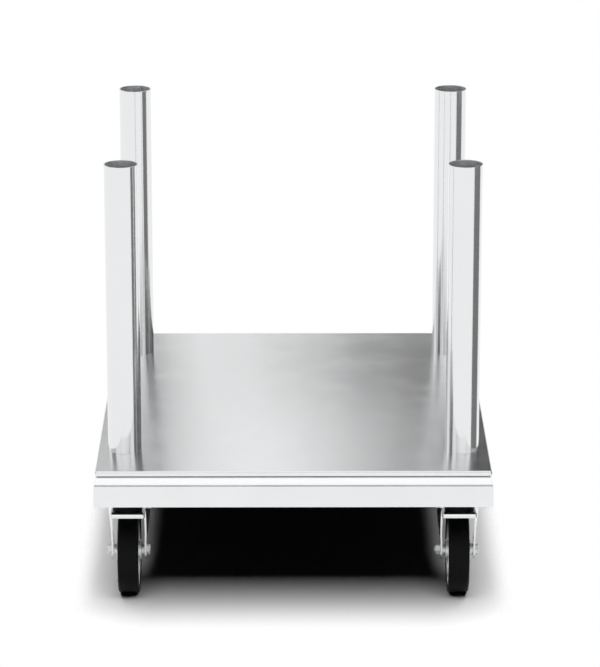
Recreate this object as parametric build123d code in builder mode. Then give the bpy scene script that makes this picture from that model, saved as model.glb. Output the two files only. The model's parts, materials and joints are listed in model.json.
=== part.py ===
"""Stainless-steel trolley base: a folded deck on a skirt frame, four open posts and four swivel casters.

Millimetres, +Z up. The origin is on the floor under the middle of the deck, and the front faces -Y.
"""

import math
import os
from build123d import *

# Deck: a shallow pan, open downwards
deck_width = 560.0
deck_depth = 690.0
deck_sheet = 1.5
deck_lip = 6.2
deck_bend = 3.8
deck_corner = 4.0

# Rails: one folded sheet under each edge of the deck, stepped back, out and out again
rail_sheet = 1.5
rail_flange = 12.0
rail_bend = 2.0
rail_inner_bend = 0.8
groove_height = 2.7
groove_depth = 5.0
band_height = 10.8
band_lean = 2.0
step_height = 2.8
step_depth = 1.5
skirt_height = 30.5
hem_height = 12.0

# Plates and channels that carry the load under the deck
corner_plate_sheet = 4.0
corner_plate_margin = 15.0
channel_width = 60.0
channel_height = 25.0
channel_sheet = 2.0
channel_bend = 4.0
weld_gap = 0.2

# Posts: open tubes, each bolted down through a plug in its slightly wider foot
post_diameter = 48.0
post_wall = 1.5
post_length = 420.0
post_inset_x = 38.5
post_inset_y = 102.0
post_rim_round = 0.3
plug_height = 30.0
plug_pocket_depth = 31.0
plug_pocket_step = 0.4
plug_clearance = 0.1
plug_chamfer = 1.5
post_bolt_diameter = 12.0
post_bolt_engagement = 22.0
post_bolt_head = 7.5
post_bolt_flats = 19.0
post_washer_diameter = 30.0
post_washer_thickness = 2.5

# Casters: where they stand, and how tall they are from the floor to the top of the plate
caster_height = 163.0
caster_inset_x = 43.0
caster_inset_y = 66.0
caster_trail = 38.0

# Caster plate with its pressed hump, and the pin that the fork turns on
plate_width = 80.0
plate_length = 105.0
plate_corner = 8.0
plate_sheet = 3.0
plate_holes_x = 60.0
plate_holes_y = 80.0
hump_radius = 30.0
hump_depth = 7.0
hump_bend = 2.0
pin_radius = 6.0
pin_head_radius = 11.0
pin_head_height = 6.0
pin_collar_radius = 10.0
pin_collar_height = 6.0
pin_chamfer = 1.5

# Fork: one pressed sheet, a straight nose, two legs that flare backwards and a crown with a raised boss
fork_sheet = 2.5
fork_inner_width = 45.0
fork_head_front = 24.0
fork_nose_length = 36.0
fork_head_rear = 44.0
fork_head_width = 62.0
fork_nose_round = 5.0
fork_shoulder_round = 4.0
fork_lip_height = 7.5
fork_boss_top_radius = 14.5
fork_boss_foot_radius = 17.5
fork_boss_round = 2.5
fork_taper_foot = 14.0
fork_end_radius = 14.0
crown_gap = 11.5

# Wheel: a rubber tyre on a rim, with a thick disc and a long hub
wheel_radius = 62.5
tyre_width = 30.0
tyre_thickness = 8.5
tyre_shoulder = 4.0
rim_width = 27.0
rim_depth = 7.0
disc_width = 12.0
hub_radius = 14.3
hub_length = 36.0
hub_chamfer = 1.0

# Axle: a bolt through a clamped sleeve, which the wheel turns on
sleeve_radius = 6.0
axle_diameter = 8.0
axle_flats = 13.0
axle_head = 5.3
axle_nut_height = 6.5
axle_end = 2.0
spacer_radius = 8.5

# Screws that hold the caster plates
screw_diameter = 8.0
screw_flats = 13.0
screw_head = 5.3
screw_nut_height = 6.5
screw_end = 2.0

# Clearances
running_clearance = 0.05
swivel_gap = 0.3
wheel_gap = 0.3
thread_clearance = 0.05
bolt_clearance = 0.5

# Levels and places worked out from the sizes above
edge_height = deck_lip + groove_height + band_height + step_height + skirt_height
deck_top = caster_height + edge_height
deck_under = deck_top - deck_sheet
rail_inner_x = deck_width / 2 + step_depth - 2 * rail_sheet
rail_inner_y = deck_depth / 2 + step_depth - 2 * rail_sheet
post_x = deck_width / 2 - post_inset_x
post_y = deck_depth / 2 - post_inset_y
post_bore = post_diameter / 2 - post_wall
plug_pocket = post_bore + plug_pocket_step
caster_x = deck_width / 2 - caster_inset_x
caster_y = deck_depth / 2 - caster_inset_y
hump_under = caster_height - hump_depth - plate_sheet
fork_top = hump_under - swivel_gap
crown_under = 2 * wheel_radius + crown_gap
crown_top = crown_under + fork_sheet
fork_length = fork_head_front + fork_head_rear
leg_outer = fork_inner_width / 2 + fork_sheet
spacer_length = (fork_inner_width - hub_length) / 2 - wheel_gap
rim_radius = wheel_radius - tyre_thickness

# Sides of the deck and its four corners, each with its sign along X and Y
sides = {
    "front": (Vector(0, -1, 0), deck_depth / 2, deck_width / 2),
    "rear": (Vector(0, 1, 0), deck_depth / 2, deck_width / 2),
    "left": (Vector(-1, 0, 0), deck_width / 2, deck_depth / 2),
    "right": (Vector(1, 0, 0), deck_width / 2, deck_depth / 2),
}
corners = {
    "front_left": (-1, -1),
    "front_right": (1, -1),
    "rear_left": (-1, 1),
    "rear_right": (1, 1),
}
post_points = [(sx * post_x, sy * post_y) for sx, sy in corners.values()]
up = Vector(0, 0, 1)

os.makedirs("parts", exist_ok=True)


def save(builder, label):
    """Label a finished piece and write it under the same name."""
    builder.part.label = label
    export_step(builder.part, f"parts/{label}.step")


def caster_frame(sign_x, sign_y):
    """Local plane of one caster: swivel axis at its origin, wheel trailing towards the middle."""
    place = Vector(sign_x * caster_x, sign_y * caster_y, 0)
    return Plane(origin=place, x_dir=(-sign_y, 0, 0), z_dir=up)


def front_plane(base, height=0.0, trail=0.0):
    """Upright plane across a caster: sketch X is its left to right, sketch Y is up."""
    place = base.origin + base.y_dir * trail + up * height
    return Plane(origin=place, x_dir=base.x_dir, z_dir=-base.y_dir)


def side_plane(base):
    """Upright plane along a caster: sketch X is its trailing direction, sketch Y is up."""
    return Plane(origin=base.origin, x_dir=base.y_dir, z_dir=base.x_dir)


def axle_plane(base, across):
    """Plane square to the axle, at a distance across from the middle of the wheel."""
    place = base.origin + base.y_dir * caster_trail + up * wheel_radius + base.x_dir * across
    return Plane(origin=place, x_dir=base.y_dir, z_dir=base.x_dir)


def make_deck_pan():
    """Top sheet with its four edges folded down and its corners closed."""
    with BuildPart() as deck_pan:
        with BuildSketch(Plane.XY.offset(deck_top - deck_lip)):
            RectangleRounded(deck_width, deck_depth, deck_corner)
        extrude(amount=deck_lip)
        fillet(deck_pan.edges().group_by(Axis.Z)[-1], radius=deck_bend)
        offset(amount=-deck_sheet, openings=deck_pan.faces().sort_by(Axis.Z)[0])
        with BuildSketch(Plane.XY.offset(deck_under)):
            with Locations(*post_points):
                Circle(post_bolt_diameter / 2 + bolt_clearance)
        extrude(amount=deck_sheet, mode=Mode.SUBTRACT)
    save(deck_pan, "deck_pan")


def make_rail(side):
    """Folded rail along one side, mitred at both ends, with a closed hem along its foot."""
    outward, distance, half_length = sides[side]
    along = outward.cross(up)
    middle = outward * distance + up * deck_top
    groove_foot = -deck_lip - groove_height
    band_foot = groove_foot - band_height
    face_line = (
        (-groove_depth - rail_flange, -deck_sheet),
        (-groove_depth, -deck_sheet),
        (-groove_depth, groove_foot),
        (-band_lean, groove_foot),
        (0, band_foot),
        (step_depth, band_foot - step_height),
        (step_depth, -edge_height),
    )
    bends = (rail_bend, rail_inner_bend, rail_bend, rail_inner_bend, rail_bend)
    with BuildPart() as rail:
        with BuildSketch(Plane(origin=middle, x_dir=outward, z_dir=along)):
            with BuildLine():
                FilletPolyline(*face_line, radius=bends)
                offset(amount=rail_sheet, side=Side.RIGHT)
            make_face()
            with Locations((step_depth - 2 * rail_sheet, -edge_height)):
                Rectangle(2 * rail_sheet, hem_height, align=(Align.MIN, Align.MIN))
        extrude(amount=half_length + step_depth, both=True)
        for end in (along, -along):
            corner = middle + end * half_length
            split(bisect_by=Plane(origin=corner, z_dir=end - outward), keep=Keep.BOTTOM)
    save(rail, f"rail_{side}")


def make_channel(end, sign_y):
    """Folded cross channel under the deck, which takes the bolts of two posts."""
    half_width = channel_width / 2
    foot = -deck_sheet - channel_height
    outline = (
        (-half_width, foot),
        (-half_width, -deck_sheet),
        (half_width, -deck_sheet),
        (half_width, foot),
    )
    half_length = deck_width / 2 - groove_depth - rail_flange - weld_gap
    with BuildPart() as channel:
        with BuildSketch(Plane(origin=(0, sign_y * post_y, deck_top), x_dir=(0, 1, 0), z_dir=(1, 0, 0))):
            with BuildLine():
                FilletPolyline(*outline, radius=channel_bend)
                offset(amount=channel_sheet, side=Side.RIGHT)
            make_face()
        extrude(amount=half_length, both=True)
        with BuildSketch(Plane.XY.offset(deck_under - channel_sheet)):
            with Locations((-post_x, sign_y * post_y), (post_x, sign_y * post_y)):
                Circle(post_bolt_diameter / 2 + bolt_clearance)
        extrude(amount=channel_sheet, mode=Mode.SUBTRACT)
    save(channel, f"cross_channel_{end}")


def make_corner_plate(corner, sign_x, sign_y):
    """Flat plate welded inside the foot of the skirt, which takes one caster."""
    inner_x = caster_x - plate_width / 2 - corner_plate_margin
    inner_y = caster_y - plate_length / 2 - corner_plate_margin
    middle = (sign_x * (rail_inner_x + inner_x) / 2, sign_y * (rail_inner_y + inner_y) / 2)
    with BuildPart() as corner_plate:
        with BuildSketch(Plane.XY.offset(caster_height)):
            with Locations(middle):
                Rectangle(rail_inner_x - inner_x, rail_inner_y - inner_y)
            with Locations((sign_x * caster_x, sign_y * caster_y)):
                with GridLocations(plate_holes_x, plate_holes_y, 2, 2):
                    Circle(screw_diameter / 2 + bolt_clearance, mode=Mode.SUBTRACT)
        extrude(amount=corner_plate_sheet)
    save(corner_plate, f"corner_plate_{corner}")


def make_post(corner, sign_x, sign_y):
    """Open tube that stands on the deck, with its rim broken and a pocket for the plug in its foot."""
    foot = Plane(origin=(sign_x * post_x, sign_y * post_y, deck_top), z_dir=up)
    with BuildPart() as post:
        with BuildSketch(foot):
            Circle(post_diameter / 2)
            Circle(post_bore, mode=Mode.SUBTRACT)
        extrude(amount=post_length)
        fillet(post.edges().group_by(Axis.Z)[-1], radius=post_rim_round)
        with BuildSketch(foot):
            Circle(plug_pocket)
        extrude(amount=plug_pocket_depth, mode=Mode.SUBTRACT)
    save(post, f"post_{corner}")


def make_post_plugs():
    """Four threaded plugs in the posts' feet."""
    with BuildPart() as post_plugs:
        with BuildSketch(Plane.XY.offset(deck_top)):
            with Locations(*post_points):
                Circle(plug_pocket - plug_clearance)
                Circle(post_bolt_diameter / 2 + thread_clearance, mode=Mode.SUBTRACT)
        extrude(amount=plug_height)
        rims = post_plugs.edges().group_by(Axis.Z)[-1].group_by(SortBy.RADIUS)[-1]
        chamfer(rims, length=plug_chamfer)
    save(post_plugs, "post_plugs")


def make_post_fasteners():
    """Four bolts and washers that hold the posts from under the cross channels."""
    washer_foot = deck_under - channel_sheet - post_washer_thickness
    with BuildPart() as post_washers:
        with BuildSketch(Plane.XY.offset(washer_foot)):
            with Locations(*post_points):
                Circle(post_washer_diameter / 2)
                Circle(post_bolt_diameter / 2 + bolt_clearance, mode=Mode.SUBTRACT)
        extrude(amount=post_washer_thickness)
    save(post_washers, "post_washers")

    with BuildPart() as post_bolts:
        with BuildSketch(Plane.XY.offset(washer_foot - post_bolt_head)):
            with Locations(*post_points):
                RegularPolygon(post_bolt_flats / 2, 6, major_radius=False)
        extrude(amount=post_bolt_head)
        with BuildSketch(Plane.XY.offset(washer_foot)):
            with Locations(*post_points):
                Circle(post_bolt_diameter / 2)
        extrude(amount=deck_top - washer_foot + post_bolt_engagement)
    save(post_bolts, "post_bolts")


def make_caster_fasteners():
    """Sixteen screws from below through caster plates and corner plates, and their nuts on top."""
    swivel_points = [(sx * caster_x, sy * caster_y) for sx, sy in corners.values()]
    nut_foot = caster_height + corner_plate_sheet
    plate_under = caster_height - plate_sheet
    with BuildPart() as caster_screws:
        with BuildSketch(Plane.XY.offset(plate_under - screw_head)):
            with Locations(*swivel_points):
                with GridLocations(plate_holes_x, plate_holes_y, 2, 2):
                    RegularPolygon(screw_flats / 2, 6, major_radius=False)
        extrude(amount=screw_head)
        with BuildSketch(Plane.XY.offset(plate_under)):
            with Locations(*swivel_points):
                with GridLocations(plate_holes_x, plate_holes_y, 2, 2):
                    Circle(screw_diameter / 2)
        extrude(amount=nut_foot + screw_nut_height + screw_end - plate_under)
    save(caster_screws, "caster_screws")

    with BuildPart() as caster_nuts:
        with BuildSketch(Plane.XY.offset(nut_foot)):
            with Locations(*swivel_points):
                with GridLocations(plate_holes_x, plate_holes_y, 2, 2):
                    RegularPolygon(screw_flats / 2, 6, major_radius=False)
                    Circle(screw_diameter / 2 + thread_clearance, mode=Mode.SUBTRACT)
        extrude(amount=screw_nut_height)
    save(caster_nuts, "caster_nuts")


def make_caster_plate(corner, base):
    """Caster plate with four holes and a hump pressed down round the swivel pin."""
    slope_foot = hump_radius - hump_depth
    hump_line = (
        (hump_radius + hump_bend, caster_height),
        (hump_radius, caster_height),
        (slope_foot, caster_height - hump_depth),
        (pin_radius, caster_height - hump_depth),
    )
    with BuildPart() as caster_plate:
        with BuildSketch(base.offset(caster_height - plate_sheet)):
            RectangleRounded(plate_width, plate_length, plate_corner)
            with GridLocations(plate_holes_x, plate_holes_y, 2, 2):
                Circle(screw_diameter / 2 + bolt_clearance, mode=Mode.SUBTRACT)
            Circle(hump_radius + hump_bend, mode=Mode.SUBTRACT)
        extrude(amount=plate_sheet)
        with BuildSketch(front_plane(base)):
            with BuildLine():
                FilletPolyline(*hump_line, radius=hump_bend)
                offset(amount=plate_sheet, side=Side.LEFT)
            make_face()
        revolve(axis=Axis(base.origin, up))
    save(caster_plate, f"caster_{corner}_plate")


def make_kingpin(corner, base):
    """Swivel pin: its head lies in the hump, and its collar holds the fork up."""
    head_foot = caster_height - hump_depth
    collar_top = fork_top - fork_sheet - swivel_gap
    with BuildPart() as kingpin:
        with BuildSketch(base.offset(head_foot)):
            Circle(pin_head_radius)
        extrude(amount=pin_head_height)
        with BuildSketch(base.offset(collar_top - pin_collar_height)):
            Circle(pin_collar_radius)
        extrude(amount=pin_collar_height)
        with BuildSketch(base.offset(collar_top)):
            Circle(pin_radius)
        extrude(amount=head_foot - collar_top)
        rims = kingpin.edges().group_by(Axis.Z)
        chamfer(rims[0] + rims[-1], length=pin_chamfer)
    save(kingpin, f"caster_{corner}_kingpin")


def fork_block(base, inset):
    """Closed block in the fork's outer shape, or, inset by the sheet, in the shape of its open inside."""
    nose_end = fork_nose_length - fork_head_front
    rear = caster_trail + fork_end_radius + fork_nose_round
    flare = (fork_head_width / 2 - leg_outer) / (fork_head_rear - nose_end)
    half_leg = leg_outer - inset
    half_head = half_leg + flare * (rear - nose_end)
    top = crown_top - inset
    shoulder = fork_shoulder_round - inset
    foot = wheel_radius - fork_end_radius - inset
    taper_foot = wheel_radius + fork_taper_foot
    levels = [(foot, half_leg, 0), (taper_foot, half_leg, 0)]
    for turn in (0, 30, 60, 90):
        drop = shoulder * (1 - math.sin(math.radians(turn)))
        levels.append((top - drop, half_head, shoulder * (1 - math.cos(math.radians(turn)))))
    with BuildPart() as block:
        for level, half_rear, draw in levels:
            front = inset + draw - fork_head_front
            with BuildSketch(base.offset(level)):
                with BuildLine():
                    FilletPolyline(
                        (-half_leg + draw, nose_end),
                        (-half_leg + draw, front),
                        (half_leg - draw, front),
                        (half_leg - draw, nose_end),
                        radius=fork_nose_round - inset - draw,
                    )
                    Polyline(
                        (half_leg - draw, nose_end),
                        (half_rear - draw, rear),
                        (draw - half_rear, rear),
                        (draw - half_leg, nose_end),
                    )
                make_face()
            if level == foot:
                extrude(amount=taper_foot - foot)
        loft(ruled=True)
    return block.part


def make_fork(corner, base):
    """Pressed fork: a hollow block trimmed to its side view, with a raised boss for the pin."""
    boss_line = (
        (pin_radius + running_clearance, fork_top),
        (fork_boss_top_radius, fork_top),
        (fork_boss_foot_radius, crown_top),
        (fork_boss_foot_radius + fork_boss_round, crown_top),
    )
    with BuildPart() as fork:
        add(fork_block(base, 0))
        add(fork_block(base, fork_sheet), mode=Mode.SUBTRACT)
        with BuildSketch(side_plane(base)):
            with Locations((fork_nose_length - fork_head_front, crown_top)):
                Rectangle(fork_length - fork_nose_length, fork_lip_height, align=(Align.MIN, Align.MAX))
            with Locations((caster_trail, wheel_radius)):
                Circle(fork_end_radius)
            make_hull()
            with Locations((-fork_head_front, crown_top)):
                Rectangle(fork_length, fork_lip_height, align=(Align.MIN, Align.MAX))
        extrude(amount=fork_head_width, both=True, mode=Mode.INTERSECT)
        with BuildSketch(base.offset(crown_under)):
            Circle(fork_boss_foot_radius)
        extrude(amount=fork_sheet, mode=Mode.SUBTRACT)
        with BuildSketch(front_plane(base)):
            with BuildLine():
                FilletPolyline(*boss_line, radius=fork_boss_round)
                offset(amount=fork_sheet, side=Side.RIGHT)
            make_face()
        revolve(axis=Axis(base.origin, up))
        with BuildSketch(axle_plane(base, 0)):
            Circle(axle_diameter / 2 + bolt_clearance / 2)
        extrude(amount=leg_outer + fork_sheet, both=True, mode=Mode.SUBTRACT)
    save(fork, f"caster_{corner}_fork")


def make_axle(corner, base):
    """Axle bolt, its nut, the clamped sleeve and the two spacers beside the hub."""
    with BuildPart() as axle_bolt:
        with BuildSketch(axle_plane(base, leg_outer)):
            RegularPolygon(axle_flats / 2, 6, major_radius=False)
        extrude(amount=axle_head)
        with BuildSketch(axle_plane(base, leg_outer)):
            Circle(axle_diameter / 2)
        extrude(amount=-2 * leg_outer - axle_nut_height - axle_end)
    save(axle_bolt, f"caster_{corner}_axle_bolt")

    with BuildPart() as axle_nut:
        with BuildSketch(axle_plane(base, -leg_outer)):
            RegularPolygon(axle_flats / 2, 6, major_radius=False)
            Circle(axle_diameter / 2 + thread_clearance, mode=Mode.SUBTRACT)
        extrude(amount=-axle_nut_height)
    save(axle_nut, f"caster_{corner}_axle_nut")

    with BuildPart() as sleeves:
        with BuildSketch(axle_plane(base, 0)):
            Circle(sleeve_radius)
            Circle(axle_diameter / 2 + thread_clearance, mode=Mode.SUBTRACT)
        extrude(amount=fork_inner_width / 2, both=True)
        for across in (-fork_inner_width / 2, fork_inner_width / 2 - spacer_length):
            with BuildSketch(axle_plane(base, across)):
                Circle(spacer_radius)
                Circle(sleeve_radius + thread_clearance, mode=Mode.SUBTRACT)
            extrude(amount=spacer_length)
    save(sleeves, f"caster_{corner}_sleeves")


def make_wheel(corner, base):
    """Wheel in four pieces: a long hub, a disc welded to it, the rim round the disc, and the tyre."""
    with BuildPart() as wheel_hub:
        with BuildSketch(axle_plane(base, 0)):
            Circle(hub_radius)
            Circle(sleeve_radius + running_clearance, mode=Mode.SUBTRACT)
        extrude(amount=hub_length / 2, both=True)
        chamfer(wheel_hub.edges().filter_by(GeomType.CIRCLE).group_by(SortBy.RADIUS)[-1], length=hub_chamfer)
    save(wheel_hub, f"caster_{corner}_wheel_hub")

    with BuildPart() as wheel_disc:
        with BuildSketch(axle_plane(base, 0)):
            Circle(rim_radius - rim_depth)
            Circle(hub_radius, mode=Mode.SUBTRACT)
        extrude(amount=disc_width / 2, both=True)
    save(wheel_disc, f"caster_{corner}_wheel_disc")

    section = front_plane(base, height=wheel_radius, trail=caster_trail)
    axle = Axis(section.origin, base.x_dir)
    with BuildPart() as wheel_rim:
        with BuildSketch(section):
            with Locations((0, rim_radius)):
                Rectangle(rim_width, rim_depth, align=(Align.CENTER, Align.MAX))
        revolve(axis=axle)
    save(wheel_rim, f"caster_{corner}_wheel_rim")

    with BuildPart() as tyre:
        with BuildSketch(section) as tyre_section:
            with Locations((0, wheel_radius)):
                Rectangle(tyre_width, tyre_thickness, align=(Align.CENTER, Align.MAX))
            fillet(tyre_section.vertices().group_by(Axis.Z)[-1], radius=tyre_shoulder)
        revolve(axis=axle)
    save(tyre, f"caster_{corner}_tyre")


make_deck_pan()
for side in sides:
    make_rail(side)
make_channel("front", -1)
make_channel("rear", 1)
make_post_plugs()
make_post_fasteners()
make_caster_fasteners()
for corner, (sign_x, sign_y) in corners.items():
    make_corner_plate(corner, sign_x, sign_y)
    make_post(corner, sign_x, sign_y)
    base = caster_frame(sign_x, sign_y)
    make_caster_plate(corner, base)
    make_kingpin(corner, base)
    make_fork(corner, base)
    make_axle(corner, base)
    make_wheel(corner, base)
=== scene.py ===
"""Stainless trolley base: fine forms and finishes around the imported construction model.

Lengths are in metres, +Z is up, and the front faces -Y.
"""

import json
import math

import bmesh
import bpy
from bpy.props import FloatProperty, FloatVectorProperty, PointerProperty
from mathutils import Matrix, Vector


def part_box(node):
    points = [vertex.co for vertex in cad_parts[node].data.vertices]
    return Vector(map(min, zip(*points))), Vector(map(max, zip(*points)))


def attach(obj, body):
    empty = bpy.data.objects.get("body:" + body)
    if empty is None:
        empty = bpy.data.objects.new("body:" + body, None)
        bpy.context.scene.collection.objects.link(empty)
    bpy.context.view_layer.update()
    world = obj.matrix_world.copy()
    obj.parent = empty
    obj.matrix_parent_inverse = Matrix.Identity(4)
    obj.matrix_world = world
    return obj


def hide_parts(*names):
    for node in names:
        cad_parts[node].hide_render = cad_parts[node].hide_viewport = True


bl_info = {
    "name": "Stainless trolley base",
    "version": (1, 0, 0),
    "blender": (4, 5, 0),
    "location": "3D View > Sidebar > Trolley",
    "description": "Models the fine forms and finishes of a stainless trolley base on casters",
    "category": "Add Mesh",
}

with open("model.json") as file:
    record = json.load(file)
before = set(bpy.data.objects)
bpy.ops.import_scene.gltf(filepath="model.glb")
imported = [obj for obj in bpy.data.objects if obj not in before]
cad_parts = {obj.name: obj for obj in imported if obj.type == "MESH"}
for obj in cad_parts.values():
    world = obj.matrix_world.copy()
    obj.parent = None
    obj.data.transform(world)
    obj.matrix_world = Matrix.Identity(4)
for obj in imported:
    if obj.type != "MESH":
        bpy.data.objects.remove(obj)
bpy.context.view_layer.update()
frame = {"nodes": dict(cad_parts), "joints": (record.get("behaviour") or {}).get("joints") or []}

MM = 0.001
ACROSS = Vector((1, 0, 0))
UP = Vector((0, 0, 1))

# An edge whose middle lies closer than this to a place is taken to be the edge there
NEAR = 0.01 * MM
# Radius of the points that close a turned piece on its axis, and the distance that merges them
ON_AXIS = 0.01 * MM
MERGE = 0.005 * MM

# Turn about Z, in degrees, that brings a caster modelled at the front to its corner
CORNERS = {"front_left": 0, "front_right": 0, "rear_left": 180, "rear_right": 180}

# Turn about Z, in degrees, that brings a rail modelled at the front to its side
SIDES = {"front": 0, "right": 90, "rear": 180, "left": 270}

# Width, segments and least angle of the rounding on the edges of screws, bolts and nuts
FASTENER_EDGE = (0.15 * MM, 3, 25)

# Dust seal, in millimetres: heights over its foot with their radii, and how far that foot
# lies below the fork's highest point
SEAL_OUTLINE = (
    (0, 18.2), (0, 21), (2, 21.4), (4, 20.4), (8, 20), (10, 21), (13, 21.4), (13.3, 15.5),
)
SEAL_DROP = 13.5

# Size of the faint clouds in the bare metals
CLOUD = 70 * MM

# Nets behind the trolley: inner edge from its middle, top, both in metres, and see-through share
REAR_RIGHT_NETS = (
    (0.02, 2.45, 0.84), (0.12, 2.45, 0.76), (0.22, 2.45, 0.65), (0.32, 2.45, 0.25),
    (-0.18, 0.74, 0.82), (-0.06, 0.74, 0.78), (0.08, 0.74, 0.76), (0.12, 0.64, 0.55),
)
REAR_LEFT_NETS = ((0.2, 2.45, 0.87), (0.26, 2.45, 0.75), (0.2, 0.74, 0.85), (0.27, 0.74, 0.65))

CAMERA_PLACE = (-0.0072, -5.0549, 1.8103)
CAMERA_LENS = 190.75

# How far the camera looks down, and its turn about Z, in degrees
CAMERA_DOWN, CAMERA_TURN = 16.463, -0.198


def linear(hex_colour):
    """Linear RGB of an sRGB colour written as #RRGGBB."""
    channels = [int(hex_colour[i:i + 2], 16) / 255 for i in (1, 3, 5)]
    return [c / 12.92 if c <= 0.04045 else ((c + 0.055) / 1.055) ** 2.4 for c in channels]


def length(name, description, millimetres):
    return FloatProperty(name=name, description=description, default=millimetres * MM,
                         unit="LENGTH")


def colour(name, description, hex_colour):
    return FloatVectorProperty(name=name, description=description, default=linear(hex_colour),
                               subtype="COLOR", size=3, min=0, max=1)


def level(name, description, value):
    return FloatProperty(name=name, description=description, default=value, min=0)


class TrolleySizes(bpy.types.PropertyGroup):
    """Sheet, bend and edge sizes that the fine forms need beside the construction model."""

    deck_sheet: length("Deck sheet", "Thickness of the deck sheet", 1.5)
    deck_bend: length("Deck bend", "Outer radius of the deck's folded edge", 3.8)
    deck_corner: length("Deck corner", "Radius of the deck's upright corners", 4)
    sheared_edge: length("Sheared edge", "Rounding of the deck sheet's deburred edge", 0.2)
    rail_sheet: length("Rail sheet", "Thickness of the folded rails", 1.5)
    rail_flange: length("Rail flange", "Width of the rail's top flange", 12)
    rail_bend: length("Rail bend", "Outer radius of the rail's outward bends", 2)
    rail_inner_bend: length("Rail inner bend", "Outer radius of the rail's inward bends", 0.8)
    groove_depth: length("Groove depth", "How far the rail steps back under the deck's lip", 5)
    groove_height: length("Groove height", "Height of the shadow groove", 2.7)
    band_height: length("Band height", "Height of the band under the groove", 10.8)
    band_lean: length("Band lean", "How far the band's top leans inwards", 2)
    step_height: length("Step height", "Height of the slope from band to skirt", 2.8)
    step_depth: length("Step depth", "How far the skirt stands out from the band", 1.5)
    hem_height: length("Hem height", "Height of the hem folded up inside the skirt", 12)
    channel_sheet: length("Channel sheet", "Thickness of the cross channels", 2)
    channel_bend: length("Channel bend", "Outer radius of the cross channels' bends", 4)
    post_wall: length("Post wall", "Wall of the post tube", 1.5)
    rim_round: length("Rim round", "Rounding of the post's sawn and deburred rim", 0.3)
    tyre_shoulder: length("Tyre shoulder", "Radius of the tyre's shoulders", 4)
    small_flats: length("Small flats", "Across the flats of the M8 heads and nuts", 13)
    small_head: length("Small head", "Height of the M8 heads", 5.3)
    small_nut: length("Small nut", "Height of the M8 nuts", 6.5)
    small_shank: length("Small shank", "Diameter of the M8 shanks", 8)
    large_flats: length("Large flats", "Across the flats of the M12 heads", 19)
    large_head: length("Large head", "Height of the M12 heads", 7.5)
    large_shank: length("Large shank", "Diameter of the M12 shanks", 12)
    thread_end: length("Thread end", "Thread that shows past the M8 nuts", 2)
    plate_holes_x: length("Plate holes across", "Spacing of the caster plate's holes across", 60)
    plate_holes_y: length("Plate holes along", "Spacing of the caster plate's holes along", 80)
    rivet_radius: length("Rivet radius", "Radius of the rivet heads in the wheel discs", 3.2)


class TrolleyColours(bpy.types.PropertyGroup):
    """Colours of the finishes."""

    stainless: colour("Stainless steel", "Satin and polished stainless sheet and tube", "#EAEBEC")
    drawn_bore: colour("Drawn bore", "Unpolished inside of the stainless tubes", "#F0F2F3")
    mill_stainless: colour("Mill stainless", "Unpolished stainless under the deck", "#A9ABAD")
    zinc: colour("Zinc plate", "Bright zinc on the forks and wheel cores", "#E6E8EA")
    # Painted shade: a dark zinc colour for the caster plates and kingpins, which lie in shade under
    # the deck
    shade_painted_zinc: colour("Black zinc", "Black-passivated zinc on caster plates and pins", "#2C2D2F")
    bright_steel: colour("Bright steel", "Bolts, nuts, pins and spacers", "#F2F3F4")
    rubber: colour("Rubber", "Solid black rubber of the tyres", "#0C0C0D")
    floor: colour("Floor", "Pale studio floor", "#F4F4F4")


class TrolleyStudio(bpy.types.PropertyGroup):
    """Levels of the plain studio."""

    ambient: level("Ambient", "Strength of the world on matt surfaces", 0.004)
    overhead: level("Overhead", "Power of the softbox over the trolley", 100)
    floor_reach: length("Floor reach", "How far before the deck the floor has faded", 258)
    side_fade: level("Side fade", "How many times sooner the floor fades beside the deck", 6.6)


def sizes():
    return bpy.context.scene.trolley_sizes


def colours():
    return bpy.context.scene.trolley_colours


def studio():
    return bpy.context.scene.trolley_studio


# Modelling helpers

def deselect():
    """Leave edit mode and select nothing."""
    active = bpy.context.object
    if active and active.mode != "OBJECT":
        bpy.ops.object.mode_set(mode="OBJECT")
    bpy.ops.object.select_all(action="DESELECT")


def choose(piece):
    """Make one piece the only one selected, and active."""
    deselect()
    piece.select_set(True)
    bpy.context.view_layer.objects.active = piece


def settle(name, scale=None):
    """Name the piece that is active and move its place, turn and scale into its mesh."""
    piece = bpy.context.object
    piece.name = name
    piece.data.name = name
    if scale:
        piece.scale = scale
    bpy.ops.object.transform_apply(location=True, rotation=True, scale=True)
    return piece


def edit(piece):
    """Enter edit mode on one piece with nothing selected."""
    choose(piece)
    bpy.ops.object.mode_set(mode="EDIT")
    bpy.ops.mesh.select_mode(type="VERT")
    bpy.ops.mesh.select_all(action="DESELECT")


def pick(piece, kind, test):
    """In edit mode, select only the verts, edges or faces for which the test holds."""
    bpy.ops.mesh.select_all(action="DESELECT")
    bpy.ops.mesh.select_mode(type={"verts": "VERT", "edges": "EDGE", "faces": "FACE"}[kind])
    shape = bmesh.from_edit_mesh(piece.data)
    for element in getattr(shape, kind):
        if test(element):
            element.select_set(True)
    shape.select_flush_mode()
    bmesh.update_edit_mesh(piece.data)


def middle(edge):
    return (edge.verts[0].co + edge.verts[1].co) / 2


def modify(piece, kind, **settings):
    """Add one modifier with its settings and apply it."""
    choose(piece)
    bpy.ops.object.modifier_add(type=kind)
    modifier = piece.modifiers[-1]
    for key, value in settings.items():
        setattr(modifier, key, value)
    bpy.ops.object.modifier_apply(modifier=modifier.name)


def soften(piece, width, segments=2, degrees=40):
    """Bevel every edge sharper than the angle, then shade smooth with the large faces kept flat."""
    modify(piece, "BEVEL", width=width, segments=segments, limit_method="ANGLE",
           angle_limit=math.radians(degrees), harden_normals=False)
    smooth(piece)
    modify(piece, "WEIGHTED_NORMAL", keep_sharp=True, weight=100)


def smooth(piece, degrees=35):
    """Shade smooth except across edges sharper than the angle."""
    choose(piece)
    bpy.ops.object.shade_smooth_by_angle(angle=math.radians(degrees))


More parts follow.
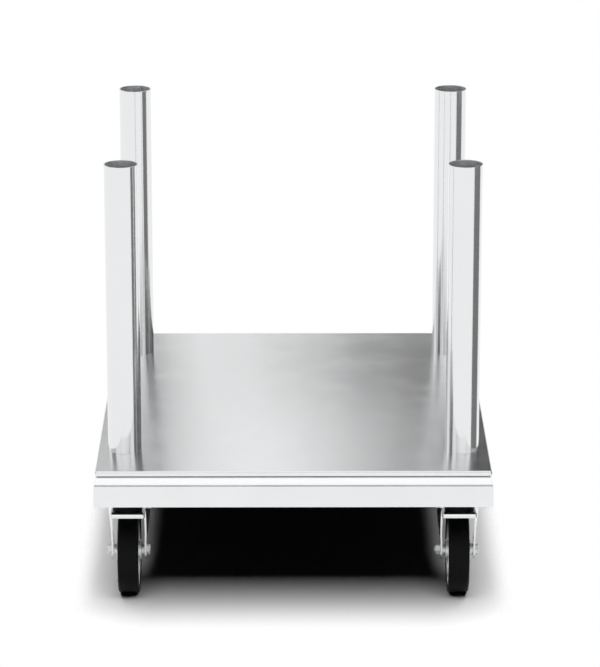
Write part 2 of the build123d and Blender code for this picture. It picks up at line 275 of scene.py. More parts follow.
def copy(piece, name, location=(0, 0, 0), turn=(0, 0, 0)):
    """Copy a piece with its own mesh, turned and moved, with its place in its mesh."""
    choose(piece)
    bpy.ops.object.duplicate(linked=False)
    made = bpy.context.object
    made.location = location
    made.rotation_euler = turn
    return settle(name)


def join(name, pieces):
    """Join several pieces into one."""
    deselect()
    for piece in pieces:
        piece.select_set(True)
    bpy.context.view_layer.objects.active = pieces[0]
    if len(pieces) > 1:
        bpy.ops.object.join()
    return settle(name)


def discard(piece):
    bpy.data.objects.remove(piece)


def deliver(piece, body, slot, finish, *nodes):
    """Give a finished piece its material and body, and hide the CAD nodes that it stands for. Its
    slot is not used.
    """
    piece.data.materials.clear()
    piece.data.materials.append(finish)
    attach(piece, body)
    if nodes:
        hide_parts(*nodes)


def folded(name, line, half_run, sheet, bends):
    """Sheet folded along X: a strip, extruded flat by flat, bent at its folds and thickened.

    The line's (y, z) points lie on the face side, which is on the left of its direction.
    """
    (y, z), (next_y, next_z) = line[:2]
    run = Vector((0, next_y - y, next_z - z))
    deselect()
    bpy.ops.mesh.primitive_plane_add(size=1, location=(0, (y + next_y) / 2, (z + next_z) / 2),
                                     rotation=(math.atan2(run.z, run.y), 0, 0))
    piece = settle(name, (2 * half_run, run.length, 1))
    edit(piece)
    pick(piece, "edges", lambda edge: (middle(edge) - Vector((0, next_y, next_z))).length < NEAR)
    for (y, z), (next_y, next_z) in zip(line[1:], line[2:]):
        step = (0, next_y - y, next_z - z)
        bpy.ops.mesh.extrude_region_move(TRANSFORM_OT_translate={"value": step})
    for before, point, after, bend in zip(line, line[1:], line[2:], bends):
        place = Vector((0, *point))
        turn = (Vector(point) - Vector(before)).angle(Vector(after) - Vector(point))
        pick(piece, "edges", lambda edge: (middle(edge) - place).length < NEAR)
        bpy.ops.mesh.bevel(offset=bend * math.tan(turn / 2), segments=5, affect="EDGES")
    bpy.ops.object.mode_set(mode="OBJECT")
    modify(piece, "SOLIDIFY", thickness=sheet, offset=-1, use_even_offset=True)
    return piece


def turned(name, line, centre=(0, 0, 0), axis=UP, steps=64):
    """Turned piece: a closed line of (along, radius) points, extruded point by point and spun."""
    outward = ACROSS if axis == UP else UP
    points = [Vector(centre) + axis * along + outward * radius for along, radius in line]
    deselect()
    bpy.ops.mesh.primitive_plane_add(size=MM, location=points[0])
    piece = settle(name)
    edit(piece)
    bpy.ops.mesh.select_all(action="SELECT")
    bpy.ops.mesh.merge(type="CENTER")
    for point, following in zip(points, points[1:] + points[:1]):
        bpy.ops.mesh.extrude_vertices_move(TRANSFORM_OT_translate={"value": following - point})
    bpy.ops.mesh.select_all(action="SELECT")
    bpy.ops.mesh.remove_doubles(threshold=MERGE)
    bpy.ops.mesh.spin(steps=steps, angle=math.tau, center=centre, axis=axis)
    bpy.ops.mesh.select_all(action="SELECT")
    bpy.ops.mesh.remove_doubles(threshold=MERGE)
    bpy.ops.mesh.normals_make_consistent(inside=False)
    bpy.ops.object.mode_set(mode="OBJECT")
    return piece


def hexagon(name, flats, height, both_ends=False):
    """Hexagon on the XY plane, standing up, its corners chamfered at 30 degrees to a round face."""
    corner = flats / math.sqrt(3)
    face = 0.475 * flats
    deselect()
    bpy.ops.mesh.primitive_cylinder_add(vertices=6, radius=corner, depth=height,
                                        location=(0, 0, height / 2))
    piece = settle(name)
    slope = (corner - face) * math.tan(math.radians(30))
    past_corner = corner * 1.02
    foot = ((0, face), (slope, corner)) if both_ends else ((0, past_corner),)
    top = ((height - slope, corner), (height, face))
    cutter = turned("chamfer", ((0, ON_AXIS), *foot, *top, (height, ON_AXIS)), steps=48)
    modify(piece, "BOOLEAN", operation="INTERSECT", object=cutter, solver="EXACT")
    discard(cutter)
    return piece


def screw(name, flats, head, diameter, reach, end):
    """Hexagon screw: head under the XY plane, and on it the shank, threaded at its end."""
    top = hexagon(name, flats, head)
    radius = diameter / 2
    pitch, thread_depth = 1.25 * MM, 0.6 * MM
    tip_height, tip_depth = 0.5 * MM, 0.7 * MM
    sunk = 0.2 * MM
    line = [(-sunk, ON_AXIS), (-sunk, radius)]
    turns = round(end / pitch)
    for turn in range(turns):
        start = reach - end + turn * pitch
        line += [(start, radius), (start + pitch / 2, radius - thread_depth)]
    line += [(reach - tip_height, radius), (reach, radius - tip_depth), (reach, ON_AXIS)]
    shank = turned(f"{name}_shank", line, steps=32)
    choose(top)
    top.rotation_euler = (math.pi, 0, 0)
    return join(name, [top, shank])


# Materials

def add_node(tree, kind, inputs=None, **settings):
    """Add one node, set its attributes, and fill its sockets with values or with other sockets."""
    made = tree.nodes.new(kind)
    for key, value in settings.items():
        setattr(made, key, value)
    for key, value in (inputs or {}).items():
        if isinstance(value, bpy.types.NodeSocket):
            tree.links.new(value, made.inputs[key])
        else:
            made.inputs[key].default_value = value
    return made


def new_material(name):
    """Empty node material and its tree."""
    made = bpy.data.materials.new(name)
    made.use_nodes = True
    made.node_tree.nodes.clear()
    return made, made.node_tree


def shade(rgb, factor):
    return (*(min(1.0, channel * factor) for channel in rgb), 1)


def bare_metal(name, rgb, roughness, grain_mm, grain_run, spread, bump_mm, mottle, smudge=0.03):
    """Bare metal: grain in the roughness and bump, a faint cloudy tint and duller handled patches.

    grain_run holds how far the grain is drawn out along each axis.
    """
    made, tree = new_material(name)
    place = add_node(tree, "ShaderNodeTexCoord").outputs["Object"]
    drawn = add_node(tree, "ShaderNodeMapping",
                     {"Vector": place, "Scale": [1 / run for run in grain_run]}).outputs["Vector"]
    grain = add_node(tree, "ShaderNodeTexNoise", {
        "Vector": drawn, "Scale": 1 / (grain_mm * MM),
        "Detail": 3.0, "Roughness": 0.6}).outputs["Fac"]
    cloud = add_node(tree, "ShaderNodeTexNoise", {
        "Vector": place, "Scale": 1 / CLOUD, "Detail": 2.0}).outputs["Fac"]
    tint = add_node(tree, "ShaderNodeMapRange", {
        "Value": cloud, "From Min": 0.3, "From Max": 0.7,
        "To Min": 0.0, "To Max": 1.0}).outputs["Result"]
    tone = add_node(tree, "ShaderNodeMix", {
        "Factor": tint, 6: shade(rgb, mottle), 7: shade(rgb, 1)}, data_type="RGBA").outputs[2]
    scratch = add_node(tree, "ShaderNodeMapRange", {
        "Value": grain, "From Min": 0.3, "From Max": 0.7,
        "To Min": roughness - spread, "To Max": roughness + spread}).outputs["Result"]
    handled = add_node(tree, "ShaderNodeMapRange", {
        "Value": cloud, "From Min": 0.45, "From Max": 0.65,
        "To Min": 0.0, "To Max": smudge}).outputs["Result"]
    dull = add_node(tree, "ShaderNodeMath", {0: scratch, 1: handled},
                    operation="ADD").outputs["Value"]
    bump = add_node(tree, "ShaderNodeBump", {
        "Height": grain, "Strength": 1.0, "Distance": bump_mm * MM}).outputs["Normal"]
    shader = add_node(tree, "ShaderNodeBsdfPrincipled", {
        "Base Color": tone, "Metallic": 1.0, "Roughness": dull, "Normal": bump})
    add_node(tree, "ShaderNodeOutputMaterial", {"Surface": shader.outputs["BSDF"]})
    return made


def satin_sheet():
    """Type 304 sheet, belt-ground to a satin: blurred reflections, fine grain across the deck."""
    return bare_metal("satin_ground_stainless", colours().stainless, 0.22, 0.8, (8, 1, 1),
                      spread=0.03, bump_mm=0.0012, mottle=0.98)


def polished_tube():
    """Type 304 tube, polished along its length: clear reflections with faint long draw lines."""
    return bare_metal("polished_stainless_tube", colours().stainless, 0.12, 0.6, (1, 1, 40),
                      spread=0.03, bump_mm=0.001, mottle=0.985, smudge=0.02)


def drawn_bore():
    """Inside of the drawn tube, never polished: dull, mottled, with faint marks along the draw."""
    return bare_metal("drawn_tube_bore", colours().drawn_bore, 0.45, 1.5, (1, 1, 6),
                      spread=0.08, bump_mm=0.004, mottle=0.8)


def mill_sheet():
    """Type 304 sheet as rolled: dull grey and cloudy, with no grain direction."""
    return bare_metal("mill_finish_stainless", colours().mill_stainless, 0.36, 1.5, (1, 1, 1),
                      spread=0.06, bump_mm=0.004, mottle=0.88)


def zinc_plate():
    """Pressed steel, bright zinc plated: silvery, slightly cloudy, with the sheet's soft ripple."""
    return bare_metal("bright_zinc_plate", colours().zinc, 0.2, 4.0, (1, 1, 1),
                      spread=0.04, bump_mm=0.008, mottle=0.93)


def shade_painted_zinc_plate():
    """Zinc-plated pressed steel, painted dark for the shade under the deck: satin, faintly cloudy.
    """
    return bare_metal("black_passivated_zinc", colours().shade_painted_zinc, 0.34, 2.0, (1, 1, 1),
                      spread=0.05, bump_mm=0.004, mottle=0.85)


def turned_steel():
    """Cold-headed and turned fasteners, bright zinc plated: smooth with a fine grit."""
    return bare_metal("bright_fastener_steel", colours().bright_steel, 0.42, 0.5, (1, 1, 1),
                      spread=0.05, bump_mm=0.002, mottle=0.92)


def moulded_rubber():
    """Solid moulded rubber: near black, matt, greyer where the mould's bloom and dust lie."""
    made, tree = new_material("moulded_black_rubber")
    place = add_node(tree, "ShaderNodeTexCoord").outputs["Object"]
    cloud = add_node(tree, "ShaderNodeTexNoise", {
        "Vector": place, "Scale": 1 / (14 * MM), "Detail": 3.0}).outputs["Fac"]
    grit = add_node(tree, "ShaderNodeTexNoise", {
        "Vector": place, "Scale": 1 / (0.7 * MM), "Detail": 2.0}).outputs["Fac"]
    bloom = add_node(tree, "ShaderNodeMapRange", {
        "Value": cloud, "From Min": 0.4, "From Max": 0.75,
        "To Min": 0.0, "To Max": 1.0}).outputs["Result"]
    tone = add_node(tree, "ShaderNodeMix", {
        "Factor": bloom, 6: shade(colours().rubber, 0.8), 7: shade(colours().rubber, 1.8)},
        data_type="RGBA").outputs[2]
    dull = add_node(tree, "ShaderNodeMapRange", {
        "Value": cloud, "From Min": 0.3, "From Max": 0.7,
        "To Min": 0.42, "To Max": 0.55}).outputs["Result"]
    bump = add_node(tree, "ShaderNodeBump", {
        "Height": grit, "Strength": 1.0, "Distance": 0.02 * MM}).outputs["Normal"]
    shader = add_node(tree, "ShaderNodeBsdfPrincipled", {
        "Base Color": tone, "Roughness": dull, "IOR": 1.52,
        "Specular IOR Level": 0.09, "Normal": bump})
    add_node(tree, "ShaderNodeOutputMaterial", {"Surface": shader.outputs["BSDF"]})
    return made


FINISHES = {}


def finish(builder):
    """Material that the builder makes, made once and then shared."""
    if builder.__name__ not in FINISHES:
        FINISHES[builder.__name__] = builder()
    return FINISHES[builder.__name__]


# Which finish a construction node takes, by the first word that its name holds
NODE_FINISHES = (
    ("tyre", moulded_rubber),
    ("wheel_", zinc_plate),
    ("fork", zinc_plate),
    # Kingpins take the zinc painted dark for the shade under the deck
    ("kingpin", shade_painted_zinc_plate),
    ("sleeves", turned_steel),
    ("axle", turned_steel),
    ("screws", turned_steel),
    ("nuts", turned_steel),
    ("bolts", turned_steel),
    ("washers", turned_steel),
    ("plugs", mill_sheet),
    ("channel", mill_sheet),
    ("corner_plate", mill_sheet),
    ("deck_pan", satin_sheet),
    ("rail", satin_sheet),
    # Caster plates take the zinc painted dark for the shade under the deck
    ("plate", shade_painted_zinc_plate),
    ("post", polished_tube),
)


# Places taken from the frame

def joint_place(name):
    return Vector(next(joint["pos_m"] for joint in frame["joints"] if joint["name"] == name))


def swivel_place(corner):
    """Foot of a caster's swivel axis, on the floor."""
    place = joint_place(f"caster_{corner}_swivel_turn")
    return Vector((place.x, place.y, 0))


def axle_place():
    """Middle of the axle of a front caster whose swivel axis stands at the origin."""
    return joint_place("caster_front_left_wheel_roll") - swivel_place("front_left")


def four_casters(model, word, body, slot, made_of, *nodes):
    """Copy a piece modelled on a front caster at the origin to all four, then discard the model."""
    for corner, turn in CORNERS.items():
        piece = copy(model, f"{word}_{corner}", swivel_place(corner), (0, 0, math.radians(turn)))
        deliver(piece, f"caster_{corner}_{body}", slot, finish(made_of),
                *[f"caster_{corner}_{node}" for node in nodes])
    discard(model)


class TROLLEY_OT_finishes(bpy.types.Operator):
    """Give every node of the construction model its finish"""

    bl_idname = "trolley.finishes"
    bl_label = "Finishes"

    def execute(self, context):
        for name, node in frame["nodes"].items():
            builder = next(builder for word, builder in NODE_FINISHES if word in name)
            node.data.materials.clear()
            node.data.materials.append(finish(builder))
        return {"FINISHED"}


class TROLLEY_OT_deck(bpy.types.Operator):
    """Fold the deck: a shallow pan with its edges bent down and its corners closed"""

    bl_idname = "trolley.deck"
    bl_label = "Deck"

    def execute(self, context):
        low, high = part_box("deck_pan")
        deselect()
        bpy.ops.mesh.primitive_cube_add(size=1, location=(low + high) / 2)
        deck = settle("deck_sheet_pan", high - low)
        edit(deck)
        pick(deck, "faces", lambda face: face.normal.z < -0.9)
        bpy.ops.mesh.delete(type="ONLY_FACE")
        pick(deck, "edges", lambda edge: abs(middle(edge).z - (low.z + high.z) / 2) < 0.1 * MM)
        bpy.ops.mesh.bevel(offset=sizes().deck_corner, segments=10, affect="EDGES")
        pick(deck, "edges", lambda edge: abs(middle(edge).z - high.z) < 0.1 * MM)
        bpy.ops.mesh.bevel(offset=sizes().deck_bend, segments=10, affect="EDGES")
        bpy.ops.object.mode_set(mode="OBJECT")
        modify(deck, "SOLIDIFY", thickness=sizes().deck_sheet, offset=-1, use_even_offset=True)
        edit(deck)
        pick(deck, "edges", lambda edge: abs(middle(edge).z - low.z) < NEAR
             and edge.calc_face_angle(0) > 1)
        bpy.ops.mesh.bevel(offset=sizes().sheared_edge, segments=2, affect="EDGES")
        bpy.ops.object.mode_set(mode="OBJECT")
        smooth(deck)
        deliver(deck, "base", "satin_stainless", finish(satin_sheet), "deck_pan")
        return {"FINISHED"}


class TROLLEY_OT_rails(bpy.types.Operator):
    """Fold the four rails under the deck, mitred at their ends and hemmed along their feet"""

    bl_idname = "trolley.rails"
    bl_label = "Rails"

    def execute(self, context):
        low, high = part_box("deck_pan")
        half_width, half_depth = (high.x - low.x) / 2, (high.y - low.y) / 2
        for side, turn in SIDES.items():
            half_run, distance = half_width, half_depth
            if side in ("left", "right"):
                half_run, distance = distance, half_run
            rail = self.rail(f"folded_rail_{side}", half_run, distance, high.z)
            choose(rail)
            rail.rotation_euler = (0, 0, math.radians(turn))
            settle(rail.name)
            smooth(rail)
            deliver(rail, "base", "satin_stainless", finish(satin_sheet), f"rail_{side}")
        return {"FINISHED"}

    def rail(self, name, half_run, distance, deck_top):
        """Front rail, folded from the hem inside its skirt up to the flange under the deck."""
        s = sizes()
        deck_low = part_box("deck_pan")[0].z
        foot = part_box("rail_front")[0].z
        groove_foot = deck_low - s.groove_height
        band_foot = groove_foot - s.band_height
        skirt = -distance - s.step_depth
        hem = skirt + 2 * s.rail_sheet
        flange = deck_top - s.deck_sheet
        line = (
            (hem, foot + s.hem_height),
            (hem, foot),
            (skirt, foot),
            (skirt, band_foot - s.step_height),
            (-distance, band_foot),
            (s.band_lean - distance, groove_foot),
            (s.groove_depth - distance, groove_foot),
            (s.groove_depth - distance, flange),
            (s.groove_depth + s.rail_flange - distance, flange),
        )
        hem_fold = 0.95 * s.rail_sheet
        bends = (hem_fold, hem_fold, s.rail_bend, s.rail_inner_bend, s.rail_bend, s.rail_inner_bend,
                 s.rail_bend)
        rail = folded(name, line, half_run + s.step_depth, s.rail_sheet, bends)
        edit(rail)
        for end in (1, -1):
            bpy.ops.mesh.select_all(action="SELECT")
            bpy.ops.mesh.bisect(plane_co=(end * half_run, -distance, 0), plane_no=(end, 1, 0),
                                use_fill=True, clear_outer=True)
        bpy.ops.object.mode_set(mode="OBJECT")
        return rail


class TROLLEY_OT_channels(bpy.types.Operator):
    """Fold the two channels that cross under the deck"""

    bl_idname = "trolley.channels"
    bl_label = "Cross channels"

    def execute(self, context):
        s = sizes()
        for end in ("front", "rear"):
            low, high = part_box(f"cross_channel_{end}")
            line = ((low.y, low.z), (low.y, high.z), (high.y, high.z), (high.y, low.z))
            channel = folded(f"folded_channel_{end}", line, (high.x - low.x) / 2, s.channel_sheet,
                             (s.channel_bend, s.channel_bend))
            smooth(channel)
            deliver(channel, "base", "mill_stainless", finish(mill_sheet), f"cross_channel_{end}")
        return {"FINISHED"}


class TROLLEY_OT_posts(bpy.types.Operator):
    """Make the four post tubes with their deburred rims"""

    bl_idname = "trolley.posts"
    bl_label = "Posts"

    def execute(self, context):
        for corner in CORNERS:
            low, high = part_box(f"post_{corner}")
            deselect()
            bpy.ops.mesh.primitive_cylinder_add(
                vertices=128, radius=(high.x - low.x) / 2, depth=high.z - low.z,
                end_fill_type="NOTHING", location=(low + high) / 2)
            post = settle(f"post_tube_{corner}")
            modify(post, "SOLIDIFY", thickness=sizes().post_wall, offset=-1, use_even_offset=True)
            soften(post, sizes().rim_round, 3, 50)
            deliver(post, "base", "polished_stainless", finish(polished_tube), f"post_{corner}")
            self.dull_bore(post, (low + high) / 2)
        return {"FINISHED"}

    def dull_bore(self, post, centre):
        """Give the faces that look in towards the axis the unpolished finish of the drawn bore."""
        post.data.materials.append(finish(drawn_bore))
        edit(post)
        pick(post, "faces", lambda face: abs(face.normal.z) < 0.1
             and face.normal.dot(face.calc_center_median() - centre) < 0)
        post.active_material_index = 1
        bpy.ops.object.material_slot_assign()
        bpy.ops.object.mode_set(mode="OBJECT")


class TROLLEY_OT_wheels(bpy.types.Operator):
    """Turn the tyres, rims, riveted discs and hubs of the four wheels"""

    bl_idname = "trolley.wheels"
    bl_label = "Wheels"

    def execute(self, context):
        axle = axle_place()
        self.tyre(axle)
        self.rim(axle)
        self.disc(axle)
        self.hub(axle)
        return {"FINISHED"}

    def measures(self, node):
        """Half the width and the outer radius of a wheel's node."""
        low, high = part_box(f"caster_front_left_{node}")
        return (high.x - low.x) / 2, (high.z - low.z) / 2

    def tyre(self, axle):
        half, radius = self.measures("tyre")
        rim = self.measures("wheel_rim")[1]
        bead = 1.5 * MM
        side = [(half - bead, rim), (half - bead, rim + 0.6 * bead),
                (half, rim + 1.6 * bead), (half, radius)]
        line = [(-across, r) for across, r in side] + side[::-1]
        tyre = turned("tyre_model", line, axle, ACROSS, 144)
        edit(tyre)
        pick(tyre, "edges", lambda edge: abs(abs(middle(edge).x) - half) < NEAR
             and all((vert.co - axle).length > radius for vert in edge.verts))
        bpy.ops.mesh.bevel(offset=sizes().tyre_shoulder, segments=8, affect="EDGES")
        bpy.ops.object.mode_set(mode="OBJECT")
        soften(tyre, 0.3 * MM)
        four_casters(tyre, "rubber_tyre", "wheel", "tyre_rubber", moulded_rubber, "tyre")

    def rim(self, axle):
        half, radius = self.measures("wheel_rim")
        inner = self.measures("wheel_disc")[1]
        lip, recess = 1.6 * MM, 2.5 * MM
        side = [(half - recess, inner), (half - recess, radius - 2 * lip),
                (half, radius - lip), (half, radius)]
        line = [(-across, r) for across, r in side] + side[::-1]
        rim = turned("rim_model", line, axle, ACROSS, 96)
        soften(rim, 0.5 * MM, 3, 30)
        four_casters(rim, "wheel_rim_ring", "wheel", "wheel_core_steel", zinc_plate, "wheel_rim")

    def disc(self, axle):
        half, radius = self.measures("wheel_disc")
        hub = self.measures("wheel_hub")[1]
        overlap, boss, boss_foot = 0.5 * MM, 6 * MM, 9 * MM
        edge_foot, edge = 6 * MM, 3 * MM
        dish = half - 2.2 * MM
        side = [(half, hub - overlap), (half, hub + boss), (dish, hub + boss_foot),
                (dish, radius - edge_foot), (half, radius - edge), (half, radius)]
        line = [(-across, r) for across, r in side] + side[::-1]
        disc = turned("disc_model", line, axle, ACROSS, 96)
        soften(disc, 1.2 * MM, 3, 20)
        head = sizes().rivet_radius
        rim_height = 0.3 * MM
        line = ((-rim_height, ON_AXIS), (-rim_height, head), (rim_height, head),
                (0.3 * head, 0.8 * head), (0.45 * head, 0.45 * head), (0.5 * head, ON_AXIS))
        rivet = turned("rivet_model", line, (dish, 0, (hub + radius) / 2 + MM), ACROSS, 20)
        smooth(rivet, 60)
        rivets = [copy(rivet, "rivet", axle, (math.radians(60 * place), 0, face))
                  for place in range(6) for face in (0, math.pi)]
        discard(rivet)
        disc = join("disc_model", [disc, *rivets])
        four_casters(disc, "pressed_disc", "wheel", "wheel_core_steel", zinc_plate, "wheel_disc")

    def hub(self, axle):
        half, radius = self.measures("wheel_hub")
        bore, chamfer = 6.05 * MM, MM
        side = [(half, bore), (half, radius - chamfer), (half - chamfer, radius)]
        line = [(-across, r) for across, r in side] + side[::-1]
        hub = turned("hub_model", line, axle, ACROSS, 64)
        soften(hub, 0.25 * MM)
        four_casters(hub, "hub_barrel", "wheel", "wheel_core_steel", turned_steel, "wheel_hub")


class TROLLEY_OT_seals(bpy.types.Operator):
    """Turn the soft dust seals that stand round the raised bosses of the forks"""

    bl_idname = "trolley.seals"
    bl_label = "Dust seals"

    def execute(self, context):
        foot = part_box("caster_front_left_fork")[1].z - SEAL_DROP * MM
        line = [(foot + height * MM, radius * MM) for height, radius in SEAL_OUTLINE]
        seal = turned("seal_model", line, steps=96)
        soften(seal, 0.5 * MM, 3, 25)
        four_casters(seal, "swivel_dust_seal", "swivel", "tyre_rubber", moulded_rubber)
        return {"FINISHED"}


class TROLLEY_OT_axles(bpy.types.Operator):
    """Make the hexagon axle bolts and their nuts"""

    bl_idname = "trolley.axles"
    bl_label = "Axles"

    def execute(self, context):
        s = sizes()
        axle = axle_place()
        low, high = [corner - swivel_place("front_left")
                     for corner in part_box("caster_front_left_axle_bolt")]
        head_seat = high.x - s.small_head
        nut_seat = low.x + s.thread_end + s.small_nut
        turn = (0, -math.pi / 2, 0)
        bolt = screw("bolt_model", s.small_flats, s.small_head, s.small_shank,
                     head_seat - low.x, s.thread_end)
        soften(bolt, *FASTENER_EDGE)
        choose(bolt)
        bolt.location, bolt.rotation_euler = (head_seat, axle.y, axle.z), turn
        settle("bolt_model")
        four_casters(bolt, "hexagon_axle_bolt", "swivel", "fastener_steel", turned_steel,
                     "axle_bolt")
        nut = hexagon("nut_model", s.small_flats, s.small_nut, both_ends=True)
        soften(nut, *FASTENER_EDGE)
        choose(nut)
        nut.location, nut.rotation_euler = (nut_seat, axle.y, axle.z), turn
        settle("nut_model")
        four_casters(nut, "hexagon_axle_nut", "swivel", "fastener_steel", turned_steel, "axle_nut")
        return {"FINISHED"}


class TROLLEY_OT_fasteners(bpy.types.Operator):
    """Make the screws that hold the casters and the bolts that hold the posts"""

    bl_idname = "trolley.fasteners"
    bl_label = "Fasteners"

    def execute(self, context):
        s = sizes()
        places = [
            swivel_place(corner) + Vector((x * s.plate_holes_x / 2, y * s.plate_holes_y / 2, 0))
            for corner in CORNERS for x in (-1, 1) for y in (-1, 1)]
        low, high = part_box("caster_screws")
        seat = low.z + s.small_head
        model = screw("screw_model", s.small_flats, s.small_head, s.small_shank,
                      high.z - seat, s.thread_end)
        self.spread(model, places, seat, "plate_screws", "caster_screws")
        model = hexagon("nut_model", s.small_flats, s.small_nut, both_ends=True)
        self.spread(model, places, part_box("caster_nuts")[0].z, "plate_nuts", "caster_nuts")
        low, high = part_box("post_bolts")
        seat = low.z + s.large_head
        places = [(low + high) / 2
                  for low, high in (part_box(f"post_{corner}") for corner in CORNERS)]
        model = screw("bolt_model", s.large_flats, s.large_head, s.large_shank,
                      high.z - seat, s.thread_end)
        self.spread(model, places, seat, "post_foot_bolts", "post_bolts")
        return {"FINISHED"}

    def spread(self, model, places, seat, name, node):
        """Copy a fastener to its places, join the copies and deliver them for their node."""
        soften(model, *FASTENER_EDGE)
        copies = [copy(model, name, (place.x, place.y, seat)) for place in places]
        discard(model)
        deliver(join(name, copies), "base", "fastener_steel", finish(turned_steel), node)


class TROLLEY_OT_stage(bpy.types.Operator):
    """Set the plain pale floor, the soft light, the cards that the metal mirrors, and the camera"""

    bl_idname = "trolley.stage"
    bl_label = "Stage"

    def execute(self, context):
        self.floor()
        self.world()
        self.softbox("top_softbox", place=(0.02, -0.56, 2.1), target=(0.02, -0.3, 0.1),
                     size=(2.45, 3.1), power=studio().overhead)
        self.card("side_net", place=(1.37, -0.31, 0.06), half_size=(0.58, 0.36), turn=90,
                  see_through=0.2)
        self.card("high_right_net", place=(1.4, 0.3, 1.1), half_size=(1.2, 0.55), turn=90,
                  see_through=0.1)
        self.card("high_left_net", place=(-1.4, -0.4, 1.1), half_size=(0.42, 0.55), turn=90,
                  see_through=0.1)
        self.rear_nets("rear_right_net", 1, REAR_RIGHT_NETS)
        self.rear_nets("rear_left_net", -1, REAR_LEFT_NETS)
        self.card("front_net", place=(0, -2.0, 1.27), half_size=(1.3, 0.27), see_through=0.4)
        self.card("front_bounce", place=(0, -3.0, 0.7), half_size=(1.5, 0.4), glow=1.25)
        self.camera()
        context.scene.view_settings.view_transform = "Standard"
        return {"FINISHED"}

    def rear_nets(self, name, side, nets):
        """Stand nets behind the trolley, one behind another, each from its edge outwards."""
        foot, half_width = 0.45, 0.8
        nearest, spacing = 1.6, 0.02
        for step, (edge, top, see_through) in enumerate(nets):
            place = (side * (edge + half_width), nearest + step * spacing, (foot + top) / 2)
            self.card(name, place, half_size=(half_width, (top - foot) / 2),
                      see_through=see_through)

    def floor(self):
        """Pale matt floor that fades into the white background within its reach past the deck."""
        deselect()
        bpy.ops.mesh.primitive_circle_add(vertices=96, radius=4, fill_type="NGON")
        floor = settle("studio_floor")
        made, tree = new_material("pale_matt_floor")
        _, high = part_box("deck_pan")
        place = add_node(tree, "ShaderNodeTexCoord").outputs["Object"]
        folded_over = add_node(tree, "ShaderNodeVectorMath", {0: place},
                               operation="ABSOLUTE").outputs["Vector"]
        past = add_node(tree, "ShaderNodeVectorMath", {
            0: folded_over, 1: (high.x, high.y, 0)}, operation="SUBTRACT").outputs["Vector"]
        past = add_node(tree, "ShaderNodeVectorMath", {0: past, 1: (0, 0, 0)},
                        operation="MAXIMUM").outputs["Vector"]
        past = add_node(tree, "ShaderNodeVectorMath", {
            0: past, 1: (studio().side_fade, 1, 1)}, operation="MULTIPLY").outputs["Vector"]
        distance = add_node(tree, "ShaderNodeVectorMath", {0: past},
                            operation="LENGTH").outputs["Value"]
        fade = add_node(tree, "ShaderNodeMapRange", {
            "Value": distance, "From Min": 0.0, "From Max": studio().floor_reach,
            "To Min": 0.0, "To Max": 1.0}, interpolation_type="SMOOTHSTEP").outputs["Result"]
        matt = add_node(tree, "ShaderNodeBsdfPrincipled", {
            "Base Color": (*colours().floor, 1), "Roughness": 0.9, "Specular IOR Level": 0.0})
        clear = add_node(tree, "ShaderNodeBsdfTransparent")
        # Painted shade: to rays that have already bounced off a matt surface the floor shows black,
        # so light bounced from the floor does not lighten the shade under the deck
        bounced = add_node(tree, "ShaderNodeMath", {
            0: add_node(tree, "ShaderNodeLightPath").outputs["Diffuse Depth"], 1: 0.5},
            operation="GREATER_THAN").outputs["Value"]
        black = add_node(tree, "ShaderNodeBsdfDiffuse", {"Color": (0, 0, 0, 1)})
        lit = add_node(tree, "ShaderNodeMixShader", {
            0: bounced, 1: matt.outputs["BSDF"], 2: black.outputs["BSDF"]})
        mix = add_node(tree, "ShaderNodeMixShader", {
            0: fade, 1: lit.outputs["Shader"], 2: clear.outputs["BSDF"]})
        add_node(tree, "ShaderNodeOutputMaterial", {"Surface": mix.outputs["Shader"]})
        floor.data.materials.append(made)

    def world(self):
        """White to the camera, reflections and glass, dim on matt surfaces."""
        world = bpy.data.worlds.new("studio")
        bpy.context.scene.world = world
        world.use_nodes = True
        tree = world.node_tree
        tree.nodes.clear()
        path = add_node(tree, "ShaderNodeLightPath")
        first = add_node(tree, "ShaderNodeMath", {
            0: path.outputs["Diffuse Depth"], 1: 0.5}, operation="LESS_THAN")
        mirrored = add_node(tree, "ShaderNodeMath", {
            0: path.outputs["Is Glossy Ray"], 1: first.outputs["Value"]}, operation="MULTIPLY")
        shown = add_node(tree, "ShaderNodeMath", {
            0: path.outputs["Is Camera Ray"], 1: mirrored.outputs["Value"]}, operation="MAXIMUM")
        shown = add_node(tree, "ShaderNodeMath", {
            0: shown.outputs["Value"], 1: path.outputs["Is Transmission Ray"]}, operation="MAXIMUM")
        strength = add_node(tree, "ShaderNodeMapRange", {
            "Value": shown.outputs["Value"], "To Min": studio().ambient, "To Max": 1.0})
        light = add_node(tree, "ShaderNodeBackground", {
            "Color": (1, 1, 1, 1), "Strength": strength.outputs["Result"]})
        add_node(tree, "ShaderNodeOutputWorld", {"Surface": light.outputs["Background"]})

    def softbox(self, name, place, target, size, power):
        """Rectangular light on matt surfaces, seen by neither the camera nor reflections."""
        data = bpy.data.lights.new(name, "AREA")
        data.shape = "RECTANGLE"
        data.size, data.size_y = size
        data.energy = power
        lamp = bpy.data.objects.new(name, data)
        bpy.context.scene.collection.objects.link(lamp)
        lamp.location = place
        aim = Vector(target) - Vector(place)
        lamp.rotation_euler = aim.to_track_quat("-Z", "Y").to_euler()
        lamp.visible_camera = False
        lamp.visible_glossy = False

    def card(self, name, place, half_size, turn=0, glow=0, see_through=0):
        """Upright studio card that only reflections see: black net, or a white board that glows."""
        deselect()
        bpy.ops.mesh.primitive_plane_add(size=2, location=place,
                                         rotation=(math.pi / 2, 0, math.radians(turn)))
        card = settle(name, (*half_size, 1))
        made, tree = new_material(f"{name}_cloth")
        cloth = add_node(tree, "ShaderNodeEmission", {"Color": (1, 1, 1, 1), "Strength": glow})
        clear = add_node(tree, "ShaderNodeBsdfTransparent")
        net = add_node(tree, "ShaderNodeMixShader", {
            0: see_through, 1: cloth.outputs["Emission"], 2: clear.outputs["BSDF"]})
        add_node(tree, "ShaderNodeOutputMaterial", {"Surface": net.outputs["Shader"]})
        card.data.materials.append(made)
        card.visible_camera = False
        card.visible_diffuse = False
        card.visible_shadow = False

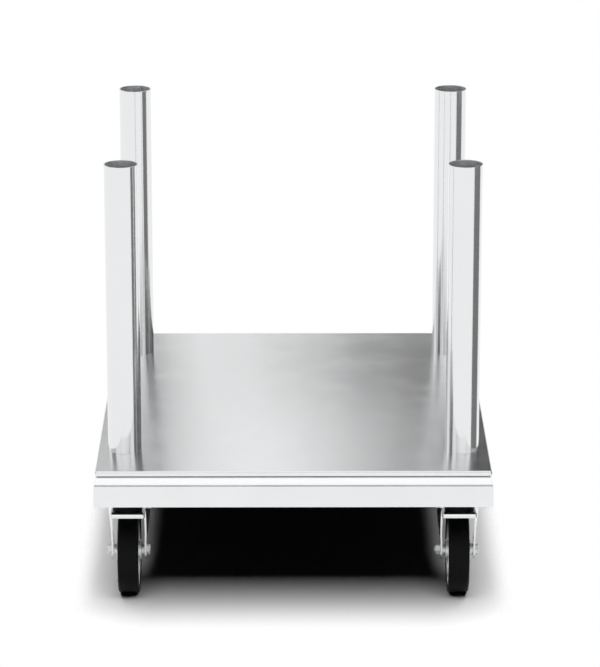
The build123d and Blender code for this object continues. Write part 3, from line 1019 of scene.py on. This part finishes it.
    def camera(self):
        """Long-lens camera before the trolley, looking down on its deck."""
        data = bpy.data.cameras.new("front_camera")
        camera = bpy.data.objects.new("front_camera", data)
        bpy.context.scene.collection.objects.link(camera)
        bpy.context.scene.camera = camera
        data.lens = CAMERA_LENS
        data.sensor_width = 36
        data.clip_end = 100
        camera.location = CAMERA_PLACE
        camera.rotation_euler = (math.radians(90 - CAMERA_DOWN), 0, math.radians(CAMERA_TURN))


class TROLLEY_PT_panel(bpy.types.Panel):
    """Sidebar panel that lists the steps and the values they use"""

    bl_label = "Trolley base"
    bl_idname = "TROLLEY_PT_panel"
    bl_space_type = "VIEW_3D"
    bl_region_type = "UI"
    bl_category = "Trolley"

    def draw(self, context):
        column = self.layout.column()
        for step in STEPS:
            column.operator(step.bl_idname)
        for group in (sizes(), colours(), studio()):
            for name in group.__annotations__:
                column.prop(group, name)


STEPS = (
    TROLLEY_OT_finishes,
    TROLLEY_OT_deck,
    TROLLEY_OT_rails,
    TROLLEY_OT_channels,
    TROLLEY_OT_posts,
    TROLLEY_OT_wheels,
    TROLLEY_OT_seals,
    TROLLEY_OT_axles,
    TROLLEY_OT_fasteners,
    TROLLEY_OT_stage,
)
GROUPS = {
    "trolley_sizes": TrolleySizes,
    "trolley_colours": TrolleyColours,
    "trolley_studio": TrolleyStudio,
}


def register():
    for group in GROUPS.values():
        bpy.utils.register_class(group)
    for name, group in GROUPS.items():
        setattr(bpy.types.Scene, name, PointerProperty(type=group))
    for step in STEPS:
        bpy.utils.register_class(step)
    bpy.utils.register_class(TROLLEY_PT_panel)


def unregister():
    bpy.utils.unregister_class(TROLLEY_PT_panel)
    for step in reversed(STEPS):
        bpy.utils.unregister_class(step)
    for name in GROUPS:
        delattr(bpy.types.Scene, name)
    for group in GROUPS.values():
        bpy.utils.unregister_class(group)


def main():
    register()
    bpy.ops.trolley.finishes()
    bpy.ops.trolley.deck()
    bpy.ops.trolley.rails()
    bpy.ops.trolley.channels()
    bpy.ops.trolley.posts()
    bpy.ops.trolley.wheels()
    bpy.ops.trolley.seals()
    bpy.ops.trolley.axles()
    bpy.ops.trolley.fasteners()
    bpy.ops.trolley.stage()


if __name__ == "__main__":
    main()
